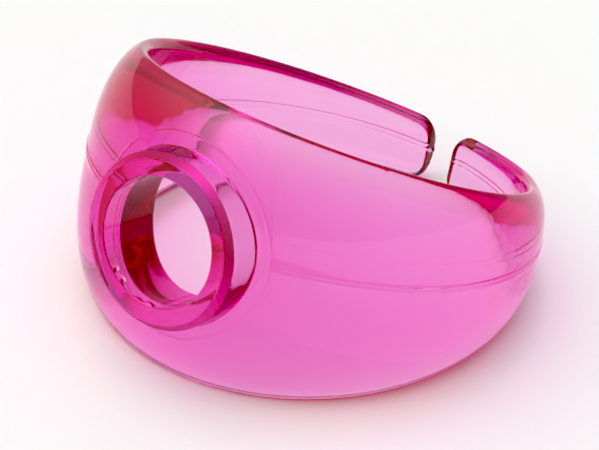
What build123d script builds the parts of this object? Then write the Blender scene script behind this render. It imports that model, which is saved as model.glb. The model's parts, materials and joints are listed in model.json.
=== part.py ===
from build123d import *
import os
from math import atan, cos, degrees, pi, sin

# Open finger ring with a signet front, moulded in one piece of clear plastic. The front carries a
# raised round collar with a through hole. Two springy arms close the ring behind it.
# Sizes are in millimetres. The ring is drawn with the finger axis along Z, the signet towards -Y
# and the gap at +Y, then tipped back so that it lies on its lower rim with the floor at Z = 0.

# finger bore and wall thickness
BORE_RADIUS = 9.0
WALL_FRONT = 2.2
WALL_SIDE = 1.65
WALL_BACK = 0.95

# band: half width at the finger axis, and what it loses per millimetre towards the back
HALF_WIDTH = 4.05
TAPER = 0.265

# rim: its crest stands this far outside the bore, and this fillet rounds it into the bore
RIM_RADIUS = 0.45
RIM_FILLET = 0.42

# shape of the crowned outside between the two rims
CROWN_POWER = 2.9
CROWN_ROOT = 0.75
CROWN_POINTS = 9

# gap between the arms' ends, and the round on the ends' corners
END_GAP = 1.38
END_CORNER = 0.85

# collar on the signet, the chamfer round its face and its through hole
COLLAR_FACE_Y = -12.22
COLLAR_ROOT_Y = -9.6
COLLAR_Z = 0.35
COLLAR_RADIUS = 4.1
COLLAR_CHAMFER = 0.3
HOLE_RADIUS = 3.03

# flex line across the band on each side, where an arm begins, and the slit that stands for it
FLEX_Y = 0.0
FLEX_SLIT = 0.12

# sections of the loft along the band
BAND_SECTIONS = 21

# inside radius of the lofted blank before it is bored
BLANK_RADIUS = 8.0

# a size that reaches past the whole ring, and how far in front of the collar its hole's cutter starts
FAR = 40.0
CUTTER_START = 1.0

# how far the ring tips back at rest, so that its lower rim lies flat
TILT = degrees(atan(TAPER))


def wall_at(angle):
    """Wall thickness at an angle in radians from the middle of the signet."""
    mean = (WALL_FRONT + WALL_BACK) / 4 + WALL_SIDE / 2
    front_to_back = (WALL_FRONT - WALL_BACK) / 2
    return mean + front_to_back * cos(angle) + (mean - WALL_SIDE) * cos(2 * angle)


def half_width_at(angle):
    """Half the band's width at an angle, so that each rim's crest lies in one flat plane."""
    return HALF_WIDTH + TAPER * (BORE_RADIUS + RIM_RADIUS) * cos(angle)


def section(angle, half_width):
    """Outline of the band at an angle: flat rims, crowned outside, still solid inside the bore."""
    plane = Plane(
        origin=(0, 0, 0),
        x_dir=(sin(angle), -cos(angle), 0),
        z_dir=(-cos(angle), -sin(angle), 0),
    )
    crest = BORE_RADIUS + RIM_RADIUS
    rise_in_all = wall_at(angle) - RIM_RADIUS
    crown = []
    for i in range(CROWN_POINTS):
        share = sin(pi * (0.5 - i / (CROWN_POINTS - 1)))
        rise = (1 - abs(share) ** CROWN_POWER) ** CROWN_ROOT
        crown.append((crest + rise_in_all * rise, half_width * share))
    top_inside = (BLANK_RADIUS, half_width)
    bottom_inside = (BLANK_RADIUS, -half_width)
    lines = [
        Line(bottom_inside, top_inside),
        Line(top_inside, crown[0]),
        Spline(*crown),
        Line(crown[-1], bottom_inside),
    ]
    return plane * make_face(lines)


def band():
    """The whole band, from one square end round the signet to the other, bored and rounded."""
    end = pi - END_GAP / 2 / (BORE_RADIUS + WALL_BACK / 2)
    faces = []
    for i in range(BAND_SECTIONS):
        angle = end * (2 * i / (BAND_SECTIONS - 1) - 1)
        faces.append(section(angle, half_width_at(angle)))
    bored = loft(faces) - Cylinder(BORE_RADIUS, FAR)
    bore_face = bored.faces().filter_by(GeomType.CYLINDER)[0]
    rims = bore_face.edges().filter_by(lambda edge: edge.length > BORE_RADIUS)
    return fillet(rims, RIM_FILLET)


def corner_cutter(side, top):
    """What is cut from one corner of an arm's end; side is 1 for +X, top is 1 for +Z."""
    corner_x = side * END_GAP / 2
    corner_z = top * half_width_at(pi)
    centre = (corner_x + side * END_CORNER, BORE_RADIUS, corner_z - top * END_CORNER)
    block = Box(2 * END_CORNER, BORE_RADIUS, 2 * END_CORNER)
    round_off = Rot(90, 0, 0) * Cylinder(END_CORNER, 2 * BORE_RADIUS)
    return Pos(corner_x, BORE_RADIUS, corner_z) * block - Pos(*centre) * round_off


def disc(radius, front_y, back_y):
    """Cylinder on the collar's axis between two Y planes."""
    plane = Plane(origin=(0, front_y, COLLAR_Z), x_dir=(1, 0, 0), z_dir=(0, 1, 0))
    return plane * extrude(Circle(radius), amount=back_y - front_y)


def signet_block(whole_band):
    """The stiff front of the ring with its collar and hole."""
    keep = Pos(0, FLEX_Y - FLEX_SLIT / 2 - FAR / 2, 0) * Box(FAR, FAR, FAR)
    collar = disc(COLLAR_RADIUS, COLLAR_FACE_Y, COLLAR_ROOT_Y)
    face_edge = collar.edges().filter_by(GeomType.CIRCLE).sort_by(Axis.Y)[0]
    collar = chamfer(face_edge, COLLAR_CHAMFER)
    hole = disc(HOLE_RADIUS, COLLAR_FACE_Y - CUTTER_START, -BORE_RADIUS / 2)
    return (whole_band & keep) + collar - hole


def arm(whole_band, side):
    """One springy arm, from its flex line to its rounded end; side is 1 for +X, -1 for -X."""
    centre = (side * FAR / 2, FLEX_Y + FLEX_SLIT / 2 + FAR / 2, 0)
    piece = whole_band & (Pos(*centre) * Box(FAR, FAR, FAR))
    return piece - corner_cutter(side, 1) - corner_cutter(side, -1)


os.makedirs("parts", exist_ok=True)
ring_band = band()
nodes = {
    "signet_front": signet_block(ring_band),
    "left_arm": arm(ring_band, -1),
    "right_arm": arm(ring_band, 1),
}
tipped = {name: Rot(-TILT, 0, 0) * shape for name, shape in nodes.items()}
bounds = Compound(list(tipped.values())).bounding_box()
onto_floor = Pos(0, -bounds.center().Y, -bounds.min.Z)
for name, shape in tipped.items():
    export_step(onto_floor * shape, f"parts/{name}.step")
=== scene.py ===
import json
import math

import bmesh
import bpy
import numpy as np
from mathutils import Matrix, Vector

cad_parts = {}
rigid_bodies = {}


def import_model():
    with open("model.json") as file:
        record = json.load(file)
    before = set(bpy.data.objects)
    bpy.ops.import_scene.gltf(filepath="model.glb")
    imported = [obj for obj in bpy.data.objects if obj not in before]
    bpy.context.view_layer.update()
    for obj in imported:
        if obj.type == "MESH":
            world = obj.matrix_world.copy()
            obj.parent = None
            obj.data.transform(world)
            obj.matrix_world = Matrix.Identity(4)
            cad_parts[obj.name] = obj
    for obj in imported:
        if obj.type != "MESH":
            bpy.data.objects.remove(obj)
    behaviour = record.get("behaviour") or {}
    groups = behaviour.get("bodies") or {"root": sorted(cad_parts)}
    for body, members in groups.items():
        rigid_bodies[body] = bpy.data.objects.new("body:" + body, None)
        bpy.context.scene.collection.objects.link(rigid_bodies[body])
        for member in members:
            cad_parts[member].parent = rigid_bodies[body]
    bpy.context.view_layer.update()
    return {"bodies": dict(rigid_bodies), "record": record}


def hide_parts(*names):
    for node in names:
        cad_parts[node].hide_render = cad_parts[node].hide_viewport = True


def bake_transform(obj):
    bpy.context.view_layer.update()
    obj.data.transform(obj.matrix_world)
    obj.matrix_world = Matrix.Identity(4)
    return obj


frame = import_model()

# ---------------------------------------------------------------------------------------------
# The ring's sizes, in millimetres, in the ring's own frame: finger axis along Z, signet towards -Y.

MOUNTS = {mount["name"]: mount for mount in frame["record"]["mounts"]}
BORE_RADIUS = MOUNTS["finger_bore"]["dims"]["r_mm"]
HOLE_RADIUS = MOUNTS["socket_hole"]["dims"]["r_mm"]

# wall thickness; the drawn crown stays inside the CAD one, which leaves room for the parting line
SKIN = 0.045
WALL_FRONT = 2.2 - SKIN
WALL_SIDE = 1.65 - SKIN
WALL_BACK = 0.95 - SKIN

# band: half width at the finger axis, what it loses towards the back, its rim and its crown
HALF_WIDTH = 4.05
TAPER = 0.265
RIM_RADIUS = 0.45
CROWN_POWER = 2.9
CROWN_ROOT = 0.75

# ends of the arms: the gap, the round on their corners and the one on their edges
END_GAP = 1.40
END_CORNER = 0.85
END_EDGE = 0.22

# collar and hole on the signet
COLLAR_Z = 0.35
COLLAR_FACE_Y = -12.22
COLLAR_RADIUS = 4.09
COLLAR_CHAMFER = 0.3
COLLAR_FILLET = 0.12
FINE_EDGE = 0.06
HOLE_BACK_EDGE = 0.35

# parting line: a fine ridge round the outside, a fainter one under it, and a witness ring
# round the collar, where the mould's side insert met the band
PART_SHARE = 0.12
PART_HEIGHT = 0.045
PART_WIDTH = 0.05
SECOND_DROP = 0.22
SECOND_HEIGHT = 0.035
WITNESS_RADIUS = 4.72
WITNESS_HEIGHT = 0.03
WITNESS_WIDTH = 0.04

# flash left on the hole's wall: direction in degrees, depth behind the face, height and width;
# the power makes it fade just in front of the hole's back edge
FLASH = (
    (-133, 0.1, 0.2, 0.09),
    (-122, 0.15, 0.14, 0.16),
    (-87, 0.2, 0.16, 0.2),
    (-98, 0.3, 0.08, 0.3),
    (62, 2.7, 0.28, 0.17),
)
FLASH_DEPTH = 0.22
FLASH_FADE = 8

# nib of the parting line on each arm's end, and how uneven the end is
NIB_HEIGHT = 0.16
NIB_WIDTH = 0.13
END_WAVE = 0.02
END_WAVES_PER_MM = 5

# angles from the signet's middle: the end of an arm, and the stretch over which an arm bends
END_ANGLE = math.pi - END_GAP / 2 / (BORE_RADIUS + WALL_BACK / 2)
BEND_FROM = math.radians(60.0)
BEND_TO = math.radians(120.0)

# the signet's patch of mesh reaches this far to each side, and within PART_REACH of the parting
# line, in radians round the collar, its lines run along it
PATCH_ANGLE = math.radians(50.0)
PART_REACH = 0.35

# how finely each stretch is divided
PATCH_STEPS = 84
ARM_STEPS = 84
CROWN_STEPS = 48
RIM_STEPS = 8
PATCH_RINGS = 22
COLLAR_STEPS = 8
FACE_STEPS = 5
HOLE_STEPS = 30
EDGE_POINTS = 5
HOLE_EDGE_POINTS = 8

# extra mesh lines across the parting line, the witness ring and an arm's end, in millimetres from
# each; the crown's own lines keep PART_CLEARANCE away from the parting line, as a share
ACROSS_PARTING = np.array([-0.12, -0.07, -0.035, 0.0, 0.035, 0.07, 0.12])
ACROSS_WITNESS = WITNESS_WIDTH * np.array([-4, -2, -1.2, -0.6, 0, 0.6, 1.2, 2, 4])
BEFORE_END = np.array([0.6, 0.42, 0.28, 0.17, 0.09, 0.03, 0.0])
PART_CLEARANCE = 0.1

# power with which the rows of an arm's end are pulled to its rims
END_PULL = 6

# rounds it takes to find the crown's point behind a place on the signet
SEARCH_ROUNDS = 40

MM = 0.001

# points closer than WELD, in millimetres, are joined; a point within END_REACH of an arm's end
# lies on it
WELD = 0.002
END_REACH = 0.01

# ---------------------------------------------------------------------------------------------
# Looks

# plastic: index of refraction, what it soaks up, per metre, and how matt the chamfer and the
# arms' ends are
PLASTIC_IOR = 1.585
ABSORB_COLOUR = (0.945, 0.06, 0.74, 1)
ABSORB_DENSITY = 670.0
CHAMFER_FROST = 0.7
END_FROST = 0.3

# relief of the plastic and of the table, and half the table's width, in metres
MOULD_WAVES = 0.00001
TABLE_GRAIN = 0.00001
TABLE_HALF = 1.5

# Blender's noise hardly leaves this span
NOISE_LOW = 0.3
NOISE_HIGH = 0.7

# tones below the black level turn black
BLACK_LEVEL = 0.045

# light goes round inside the clear wall many times before it comes out
LIGHT_BOUNCES = 32

# ---------------------------------------------------------------------------------------------
# The ring


def wall_at(angle):
    """Wall thickness at an angle from the middle of the signet."""
    mean = (WALL_FRONT + WALL_BACK) / 4 + WALL_SIDE / 2
    front_to_back = (WALL_FRONT - WALL_BACK) / 2
    return mean + front_to_back * np.cos(angle) + (mean - WALL_SIDE) * np.cos(2 * angle)


def from_end(angle):
    """Distance along the band from the nearer end, in millimetres."""
    return (END_ANGLE - np.abs(angle)) * (BORE_RADIUS + WALL_BACK / 2)


def rounding(distance, radius):
    """How far a round of this radius draws a side in, at a distance from the end."""
    reach = np.clip(radius - distance, 0.0, radius)
    return radius - np.sqrt(radius**2 - reach**2)


def bump(distance, width):
    """A smooth bump one unit high at no distance."""
    return np.exp(-((distance / width) ** 2))


def half_width_at(angle):
    """Half the band's width at an angle, drawn in at the arms' rounded ends."""
    full = HALF_WIDTH + TAPER * (BORE_RADIUS + RIM_RADIUS) * np.cos(angle)
    return full - rounding(from_end(angle), END_CORNER)


def polar(radius, angle, height):
    """Points of the ring frame from radius, angle round the finger axis and height."""
    parts = np.broadcast_arrays(radius * np.sin(angle), -radius * np.cos(angle), height)
    return np.stack(parts, axis=-1)


def crown(angle, share):
    """Outside of the band. share runs from -1 on the lower rim's crest to 1 on the upper one's."""
    width = half_width_at(angle)
    rise = np.clip(1 - np.abs(share) ** CROWN_POWER, 0, 1) ** CROWN_ROOT
    thin = rounding(from_end(angle), END_EDGE)
    radius = BORE_RADIUS + RIM_RADIUS + (wall_at(angle) - RIM_RADIUS - thin) * rise
    points = polar(radius, angle, width * share)
    off_axis = np.hypot(points[..., 0], points[..., 2] - COLLAR_Z)
    behind = np.abs(angle) > math.pi / 2
    above = (share - PART_SHARE) * width
    lines = PART_HEIGHT * bump(above, PART_WIDTH)
    lines = lines + SECOND_HEIGHT * bump(above + SECOND_DROP, PART_WIDTH)
    ring = WITNESS_HEIGHT * bump(off_axis - WITNESS_RADIUS, WITNESS_WIDTH)
    ridge = np.where(behind | (off_axis > WITNESS_RADIUS), lines, 0) + np.where(behind, 0, ring)
    return polar(radius + ridge, angle, width * share)


def bore(angle, share):
    """Inside of the band. share runs from -1 to 1 over the straight part between the rims."""
    thin = rounding(from_end(angle), END_EDGE)
    straight = half_width_at(angle) - RIM_RADIUS
    return polar(BORE_RADIUS + thin, angle, straight * share)


def rim(angle, turn, side):
    """Rounded rim. turn runs from 0 at the crest to 1 at the bore; side is 1 above, -1 below."""
    thin = rounding(from_end(angle), END_EDGE)
    half_turn = turn * math.pi / 2
    radius = BORE_RADIUS + RIM_RADIUS - (RIM_RADIUS - thin) * np.sin(half_turn)
    height = half_width_at(angle) - RIM_RADIUS * (1 - np.cos(half_turn))
    return polar(radius, angle, side * height)


def crown_shares(angle):
    """The crown's share lines at one angle: denser at the rims and beside the parting line."""
    turns = np.linspace(-1, 1, CROWN_STEPS + 1)
    shares = np.sin(turns * math.pi / 2)
    shares = shares[np.abs(shares - PART_SHARE) > PART_CLEARANCE]
    across_both = np.concatenate([ACROSS_PARTING, ACROSS_PARTING[:5] - SECOND_DROP])
    lines = PART_SHARE + across_both / half_width_at(angle)
    return np.sort(np.concatenate([shares, lines]))


def on_crown(x, height):
    """Angle and share of the crown's point that lies at x and height on the signet."""
    radius = np.full_like(x, BORE_RADIUS + WALL_FRONT)
    for _ in range(SEARCH_ROUNDS):
        angle = np.arcsin(np.clip(x / radius, -1, 1))
        share = height / half_width_at(angle)
        point = crown(angle, share)
        radius = np.hypot(point[..., 0], point[..., 1])
    return angle, share


def on_bore(x, height):
    """Angle and share of the bore's point that lies at x and height behind the signet."""
    angle = np.arcsin(x / BORE_RADIUS)
    return angle, height / (half_width_at(angle) - RIM_RADIUS)


class Skin:
    """Collects patches of quads that together make one closed surface; mesh_of welds them."""

    def __init__(self):
        self.points = []
        self.quads = []

    def patch(self, rows, closed=False):
        """Adds a grid of points, given as rows of equal length; closed joins each row's ends."""
        rows = np.asarray(rows)
        first = sum(len(block) for block in self.points)
        height, length = rows.shape[:2]
        self.points.append(rows.reshape(-1, 3))
        for i in range(height - 1):
            for j in range(length if closed else length - 1):
                k = (j + 1) % length
                here, there = first + i * length, first + (i + 1) * length
                self.quads.append((here + j, here + k, there + k, there + j))


def patch_edge(surface, angles, shares_at):
    """The closed edge of the signet patch, anticlockwise seen from outside, as angle and share."""
    right = [(angles[-1], share) for share in shares_at(angles[-1])]
    left = [(angles[0], share) for share in shares_at(angles[0])[::-1]]
    top = [(angle, 1.0) for angle in angles[::-1]][1:-1]
    bottom = [(angle, -1.0) for angle in angles][1:-1]
    edge = np.array(right + top + left + bottom)
    return edge[:, 0], edge[:, 1]


def beside_parting(direction):
    """Turns directions from the collar a little, so that lines near the parting line run along it:
    it lies in another direction at the patch's edge than at the witness ring, where it starts."""
    edge_height = PART_SHARE * half_width_at(PATCH_ANGLE) - COLLAR_Z
    edge_x = (BORE_RADIUS + wall_at(PATCH_ANGLE)) * math.sin(PATCH_ANGLE)
    edge = math.atan(edge_height / edge_x)
    start_angle = math.asin(WITNESS_RADIUS / (BORE_RADIUS + WALL_FRONT))
    start_height = PART_SHARE * half_width_at(start_angle) - COLLAR_Z
    start = math.asin(start_height / WITNESS_RADIUS)
    right = bump(direction - edge, PART_REACH)
    left = bump(abs(direction) - math.pi + edge, PART_REACH)
    return direction + (start - edge) * (right - left)


def round_patch(skin, surface, inverse, angles, shares_at, radii, turn):
    """Joins circles of these radii round the socket's axis to the edge of the signet patch.
    Returns the direction of each of a circle's points and the first circle's own points."""
    edge_angle, edge_share = patch_edge(surface, angles, shares_at)
    edge = surface(edge_angle, edge_share)
    direction = turn(np.arctan2(edge[:, 2] - COLLAR_Z, edge[:, 0]))
    rows = []
    for radius in radii:
        angle, share = inverse(radius * np.cos(direction), COLLAR_Z + radius * np.sin(direction))
        rows.append(surface(angle, share))
    for step in np.linspace(0, 1, PATCH_RINGS + 1)[1:]:
        rows.append(
            surface(angle + (edge_angle - angle) * step, share + (edge_share - share) * step)
        )
    skin.patch(rows, closed=True)
    return direction, rows[0]


def circle(radius, direction, depth):
    """Points round the socket's axis at a radius, with their Y given."""
    return np.stack(
        [
            radius * np.cos(direction),
            np.broadcast_to(depth, direction.shape),
            COLLAR_Z + radius * np.sin(direction),
        ],
        axis=-1,
    )


def quarter(count):
    """Sine and cosine pairs of a quarter turn."""
    return [(math.sin(t), math.cos(t)) for t in np.linspace(0, math.pi / 2, count)]


def fine_corner(before, corner, after):
    """Points of a softened corner in a profile of radius and Y."""
    before, corner, after = (np.array(point, float) for point in (before, corner, after))
    start = corner + (before - corner) / np.linalg.norm(before - corner) * FINE_EDGE
    end = corner + (after - corner) / np.linalg.norm(after - corner) * FINE_EDGE
    steps = np.linspace(0, 1, EDGE_POINTS)[:, None]
    return start * (1 - steps) ** 2 + 2 * corner * steps * (1 - steps) + end * steps**2


def flash_at(direction, depth):
    """How far the flash stands out from the hole's wall."""
    height = np.zeros_like(direction)
    for degrees, place, rise, width in FLASH:
        turn = (direction - math.radians(degrees) + math.pi) % math.tau - math.pi
        height += rise * bump(turn * HOLE_RADIUS, width) * bump(depth - place, FLASH_DEPTH)
    return height


def collar_skin(skin, direction, foot):
    """The collar's outside, its chamfer, its face and the lip of the hole."""
    rows = []
    for sine, cosine in quarter(EDGE_POINTS):
        radius = COLLAR_RADIUS + COLLAR_FILLET * (1 - sine)
        rows.append(circle(radius, direction, foot[:, 1] - COLLAR_FILLET * (1 - cosine)))
    chamfer_foot = (COLLAR_RADIUS, COLLAR_FACE_Y + COLLAR_CHAMFER)
    chamfer_top = (COLLAR_RADIUS - COLLAR_CHAMFER, COLLAR_FACE_Y)
    lip = (HOLE_RADIUS, COLLAR_FACE_Y)
    on_wall = (COLLAR_RADIUS, COLLAR_FACE_Y + 2 * COLLAR_CHAMFER)
    in_hole = (HOLE_RADIUS, COLLAR_FACE_Y + FINE_EDGE)
    wall_start = foot[:, 1] - COLLAR_FILLET
    wall_end = COLLAR_FACE_Y + COLLAR_CHAMFER + FINE_EDGE
    for step in np.linspace(0, 1, COLLAR_STEPS + 1)[1:-1]:
        place = wall_start + (wall_end - wall_start) * step
        rows.append(circle(COLLAR_RADIUS, direction, place))
    profile = [
        fine_corner(on_wall, chamfer_foot, chamfer_top),
        fine_corner(chamfer_foot, chamfer_top, lip),
        np.linspace(chamfer_top, lip, FACE_STEPS + 1)[1:-1],
        fine_corner(chamfer_top, lip, in_hole),
    ]
    for radius, depth in np.concatenate(profile):
        rows.append(circle(radius, direction, depth))
    rows[-1] = circle(HOLE_RADIUS - flash_at(direction, FINE_EDGE), direction, in_hole[1])
    skin.patch(rows, closed=True)


def hole_skin(skin, front_direction, back_direction, back_edge):
    """The hole's wall, from its lip to the rounded edge on the bore."""
    start = COLLAR_FACE_Y + FINE_EDGE
    end = back_edge[:, 1] - HOLE_BACK_EDGE
    drift = (back_direction - front_direction + math.pi) % math.tau - math.pi
    rows = []
    for step in np.linspace(0, 1, HOLE_STEPS + 1):
        direction = front_direction + drift * step
        place = start + (end - start) * step
        flash = flash_at(direction, place - COLLAR_FACE_Y) * (1 - step**FLASH_FADE)
        radius = HOLE_RADIUS - flash
        rows.append(circle(radius, direction, place))
    for sine, cosine in quarter(HOLE_EDGE_POINTS)[1:]:
        radius = HOLE_RADIUS + HOLE_BACK_EDGE * (1 - cosine)
        rows.append(circle(radius, back_direction, end + HOLE_BACK_EDGE * sine))
    skin.patch(rows, closed=True)


def end_skin(skin, angle, bore_shares, turns):
    """The flat end of an arm, a little wavy, with the parting line's nib on it."""
    shares = crown_shares(angle)
    outer, inner = crown(angle, shares), bore(angle, bore_shares)
    below, above = rim(angle, turns, -1), rim(angle, turns, 1)
    along = np.linspace(0, 1, len(shares))[:, None]
    out_of_end = np.sign(angle) * np.array([math.cos(angle), math.sin(angle), 0])
    rows = []
    for i, turn in enumerate(turns):
        row = outer * (1 - turn) + inner * turn
        to_below = (below[i] - row[0]) * (1 - along) ** END_PULL
        to_above = (above[i] - row[-1]) * along**END_PULL
        row = row + to_below + to_above
        height = row[:, 2] - PART_SHARE * half_width_at(angle)
        inside = 4 * turn * (1 - turn) * np.sin(along[:, 0] * math.pi) ** 0.5
        wave = END_WAVE * np.sin(height * END_WAVES_PER_MM + 2 * turn)
        stand = (NIB_HEIGHT * bump(height, NIB_WIDTH) + wave) * inside
        rows.append(row + stand[:, None] * out_of_end)
    skin.patch(rows)


def ring_skin():
    """The whole moulding as one closed skin, in millimetres in the ring's frame."""
    skin = Skin()
    front = np.linspace(-PATCH_ANGLE, PATCH_ANGLE, PATCH_STEPS + 1)
    ends = END_ANGLE - BEFORE_END / BORE_RADIUS
    side = np.linspace(PATCH_ANGLE, END_ANGLE - END_CORNER / BORE_RADIUS, ARM_STEPS + 1)
    right = np.concatenate([side, ends])
    left = -right[::-1]
    whole = np.concatenate([left, front[1:-1], right])
    bore_shares = np.linspace(-1, 1, len(crown_shares(PATCH_ANGLE)))
    turns = np.linspace(0, 1, RIM_STEPS + 1)

    for arm in (left, right):
        skin.patch([crown(angle, crown_shares(angle)) for angle in arm])
        skin.patch([bore(angle, bore_shares) for angle in arm])
    for side in (1, -1):
        skin.patch([rim(angle, turns, side) for angle in whole])
    for angle in (-END_ANGLE, END_ANGLE):
        end_skin(skin, angle, bore_shares, turns)

    radii = [COLLAR_RADIUS + COLLAR_FILLET, *(WITNESS_RADIUS + ACROSS_WITNESS)]
    direction, foot = round_patch(
        skin, crown, on_crown, front, crown_shares, radii, beside_parting
    )
    collar_skin(skin, direction, foot)
    back_direction, back_edge = round_patch(
        skin,
        bore,
        on_bore,
        front,
        lambda angle: bore_shares,
        [HOLE_RADIUS + HOLE_BACK_EDGE],
        lambda direction: direction,
    )
    hole_skin(skin, direction, back_direction, back_edge)
    return skin


def ring_to_row():
    """Matrix from the ring's frame, in millimetres, to the row's frame, in metres."""
    mount = MOUNTS["finger_bore"]
    finger = Vector(mount["axis"]).normalized()
    across = Vector((1, 0, 0))
    axes = Matrix((across, finger.cross(across), finger)).transposed()
    return Matrix.Translation(mount["pos_m"]) @ (axes * MM).to_4x4()


def mesh_of(skin, name, place):
    """A smooth closed mesh object of a skin, welded where its patches meet."""
    bm = bmesh.new()
    points = np.concatenate(skin.points)
    verts = [bm.verts.new(place @ Vector(point)) for point in points]
    for quad in skin.quads:
        bm.faces.new([verts[i] for i in quad])
    bmesh.ops.remove_doubles(bm, verts=bm.verts, dist=WELD * MM)
    bmesh.ops.recalc_face_normals(bm, faces=bm.faces)
    for face in bm.faces:
        face.smooth = True
    mesh = bpy.data.meshes.new(name)
    bm.to_mesh(mesh)
    bm.free()
    piece = bpy.data.objects.new(name, mesh)
    bpy.context.scene.collection.objects.link(piece)
    return piece


# ---------------------------------------------------------------------------------------------
# Materials


def noise(tree, scale, detail, low, high):
    """A procedural noise in the object's own space, spread from low to high."""
    place = tree.nodes.new("ShaderNodeTexCoord")
    pattern = tree.nodes.new("ShaderNodeTexNoise")
    pattern.inputs["Scale"].default_value = scale
    pattern.inputs["Detail"].default_value = detail
    spread = tree.nodes.new("ShaderNodeMapRange")
    spread.inputs["From Min"].default_value = NOISE_LOW
    spread.inputs["From Max"].default_value = NOISE_HIGH
    spread.inputs["To Min"].default_value = low
    spread.inputs["To Max"].default_value = high
    tree.links.new(place.outputs["Object"], pattern.inputs["Vector"])
    tree.links.new(pattern.outputs["Fac"], spread.inputs["Value"])
    return spread.outputs["Result"]


def two_tone(tree, shader, factor, first, second):
    """Gives the shader's base colour two close tones, mixed by a factor."""
    mix = tree.nodes.new("ShaderNodeMix")
    mix.data_type = "RGBA"
    mix.inputs["A"].default_value = first
    mix.inputs["B"].default_value = second
    tree.links.new(factor, mix.inputs["Factor"])
    tree.links.new(mix.outputs["Result"], shader.inputs["Base Color"])


def roughen(tree, shader, height, distance):
    """Gives the shader's surface a relief of this height, in metres."""
    relief = tree.nodes.new("ShaderNodeBump")
    relief.inputs["Distance"].default_value = distance
    tree.links.new(height, relief.inputs["Height"])
    tree.links.new(relief.outputs["Normal"], shader.inputs["Normal"])


def clear_plastic():
    """See-through magenta plastic: it soaks up green, then blue, the further light goes in it.
    It is glossy, but matt on the collar's chamfer and on the arms' ends."""
    material = bpy.data.materials.new("clear_pink_plastic")
    material.use_nodes = True
    tree = material.node_tree
    shader = tree.nodes["Principled BSDF"]
    shader.inputs["IOR"].default_value = PLASTIC_IOR
    shader.inputs["Transmission Weight"].default_value = 1.0
    two_tone(tree, shader, noise(tree, 300, 2, 0, 1), (1.0, 0.99, 0.995, 1), (1.0, 0.96, 0.98, 1))
    roughen(tree, shader, noise(tree, 420, 2, 0, 1), MOULD_WAVES)
    frost = tree.nodes.new("ShaderNodeAttribute")
    frost.attribute_name = "frost"
    rough = tree.nodes.new("ShaderNodeMath")
    rough.operation = "ADD"
    tree.links.new(frost.outputs["Fac"], rough.inputs[0])
    tree.links.new(noise(tree, 900, 4, 0.012, 0.05), rough.inputs[1])
    tree.links.new(rough.outputs["Value"], shader.inputs["Roughness"])
    absorb = tree.nodes.new("ShaderNodeVolumeAbsorption")
    absorb.inputs["Color"].default_value = ABSORB_COLOUR
    absorb.inputs["Density"].default_value = ABSORB_DENSITY
    tree.links.new(absorb.outputs["Volume"], tree.nodes["Material Output"].inputs["Volume"])
    return material


def table_top():
    """Plain white table with a barely uneven surface."""
    material = bpy.data.materials.new("white_table")
    material.use_nodes = True
    tree = material.node_tree
    shader = tree.nodes["Principled BSDF"]
    two_tone(tree, shader, noise(tree, 60, 3, 0, 1), (0.9, 0.9, 0.89, 1), (0.885, 0.885, 0.88, 1))
    roughen(tree, shader, noise(tree, 900, 3, 0, 1), TABLE_GRAIN)
    tree.links.new(noise(tree, 200, 3, 0.55, 0.7), shader.inputs["Roughness"])
    return material


def points_in_ring(piece, place):
    """The piece's points in the ring's frame, in millimetres."""
    to_ring = place.inverted()
    return np.array([to_ring @ vert.co for vert in piece.data.vertices])


def band_angles(points):
    """Angle of each point round the finger, from -pi to pi, 0 at the signet."""
    return np.arctan2(points[:, 0], -points[:, 1])


def frost_points(piece, points):
    """Marks how matt each point is: the collar's chamfer and the arms' ends."""
    off_axis = np.hypot(points[:, 0], points[:, 2] - COLLAR_Z)
    on_face = points[:, 1] < COLLAR_FACE_Y + COLLAR_CHAMFER + FINE_EDGE / 2
    chamfer = on_face & (off_axis > COLLAR_RADIUS - COLLAR_CHAMFER)
    end = np.abs(band_angles(points)) > END_ANGLE - END_REACH / BORE_RADIUS
    frost = piece.data.attributes.new("frost", "FLOAT", "POINT")
    frost.data.foreach_set("value", CHAMFER_FROST * chamfer + END_FROST * end)


def bend_right_side(piece, angles):
    shape = np.empty(len(angles) * 3)
    piece.data.vertices.foreach_get("co", shape)
    line = np.zeros((len(angles), 3))
    line[:, 0] = angles
    piece.data.vertices.foreach_set("co", line.ravel())
    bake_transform(piece)
    piece.data.vertices.foreach_set("co", shape)
    piece.data.update()


def bend_left_side(piece, angles):
    """Hooks the ring's left side to the left arm, with a smooth change along the band."""
    share = np.clip((-angles - BEND_FROM) / (BEND_TO - BEND_FROM), 0, 1)
    weights = share**2 * (3 - 2 * share)
    group = piece.vertex_groups.new(name="left_arm")
    for i in np.flatnonzero(weights):
        group.add([int(i)], float(weights[i]), "REPLACE")
    arm = frame["bodies"]["left_arm"]
    hook = piece.modifiers.new("left_arm", "HOOK")
    hook.object = arm
    hook.vertex_group = group.name
    hook.falloff_type = "NONE"
    hook.matrix_inverse = arm.matrix_world.inverted() @ piece.matrix_world


place = ring_to_row()
ring = mesh_of(ring_skin(), "ring", place)
ring.data.materials.append(clear_plastic())
points = points_in_ring(ring, place)
frost_points(ring, points)
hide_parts("signet_front", "left_arm", "right_arm")
angles = band_angles(points)
bend_right_side(ring, angles)
bend_left_side(ring, angles)

# ---------------------------------------------------------------------------------------------
# Table, light and camera


def flat_square(name, half):
    """A square on the ground, this far to each side."""
    bm = bmesh.new()
    corners = [(-half, -half, 0), (half, -half, 0), (half, half, 0), (-half, half, 0)]
    bm.faces.new([bm.verts.new(corner) for corner in corners])
    mesh = bpy.data.meshes.new(name)
    bm.to_mesh(mesh)
    bm.free()
    square = bpy.data.objects.new(name, mesh)
    bpy.context.scene.collection.objects.link(square)
    return square


table = flat_square("table", TABLE_HALF)
table.data.materials.append(table_top())


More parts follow.
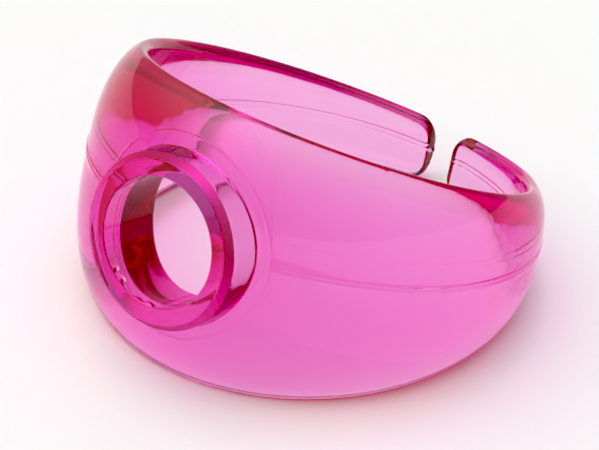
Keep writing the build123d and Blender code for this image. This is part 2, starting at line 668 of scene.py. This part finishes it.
def studio_dome(brightest, horizon, zenith, falloff):
    """White light from all round, brighter towards one direction."""
    world = bpy.data.worlds.new("studio")
    world.use_nodes = True
    nodes, links = world.node_tree.nodes, world.node_tree.links
    direction = nodes.new("ShaderNodeTexCoord")
    along = nodes.new("ShaderNodeVectorMath")
    along.operation = "DOT_PRODUCT"
    along.inputs[1].default_value = Vector(brightest).normalized()
    links.new(direction.outputs["Generated"], along.inputs[0])
    above = nodes.new("ShaderNodeMath")
    above.operation = "MAXIMUM"
    above.inputs[1].default_value = 0.0
    links.new(along.outputs["Value"], above.inputs[0])
    gathered = nodes.new("ShaderNodeMath")
    gathered.operation = "POWER"
    gathered.inputs[1].default_value = falloff
    links.new(above.outputs["Value"], gathered.inputs[0])
    strength = nodes.new("ShaderNodeMath")
    strength.operation = "MULTIPLY_ADD"
    strength.inputs[1].default_value = zenith - horizon
    strength.inputs[2].default_value = horizon
    links.new(gathered.outputs["Value"], strength.inputs[0])
    background = nodes["Background"]
    background.inputs["Color"].default_value = (1, 1, 1, 1)
    links.new(strength.outputs["Value"], background.inputs["Strength"])
    bpy.context.scene.world = world


studio_dome(brightest=(-0.4, -0.25, 0.88), horizon=0.45, zenith=2.3, falloff=3)


def camera_at(centre, azimuth, elevation, roll, distance, slide, lens):
    """A camera that looks at centre, slid sideways and up by slide, in metres."""
    turn, lift, lean = (math.radians(angle) for angle in (azimuth, elevation, roll))
    back = Vector(
        (math.sin(turn) * math.cos(lift), -math.cos(turn) * math.cos(lift), math.sin(lift))
    )
    level = Vector((math.cos(turn), math.sin(turn), 0))
    upright = back.cross(level)
    right = level * math.cos(lean) + upright * math.sin(lean)
    up = back.cross(right)
    place = Vector(centre) + right * slide[0] + up * slide[1] + back * distance
    data = bpy.data.cameras.new("camera")
    data.sensor_width = 36
    data.lens = lens
    data.clip_start = 0.01
    camera = bpy.data.objects.new("camera", data)
    facing = Matrix((right, up, back)).transposed().to_4x4()
    camera.matrix_world = Matrix.Translation(place) @ facing
    bpy.context.scene.collection.objects.link(camera)
    return camera


bpy.context.scene.camera = camera_at(
    centre=MOUNTS["finger_bore"]["pos_m"],
    azimuth=37.98,
    elevation=34.59,
    roll=2.29,
    distance=0.3,
    slide=(-0.994 * MM, -1.324 * MM),
    lens=394.8,
)
view = bpy.context.scene.view_settings
view.view_transform = "Standard"
view.use_curve_mapping = True
view.curve_mapping.black_level = (BLACK_LEVEL,) * 3
view.curve_mapping.update()

cycles = bpy.context.scene.cycles
cycles.max_bounces = LIGHT_BOUNCES
cycles.glossy_bounces = LIGHT_BOUNCES
cycles.transmission_bounces = LIGHT_BOUNCES
cycles.blur_glossy = 0.0
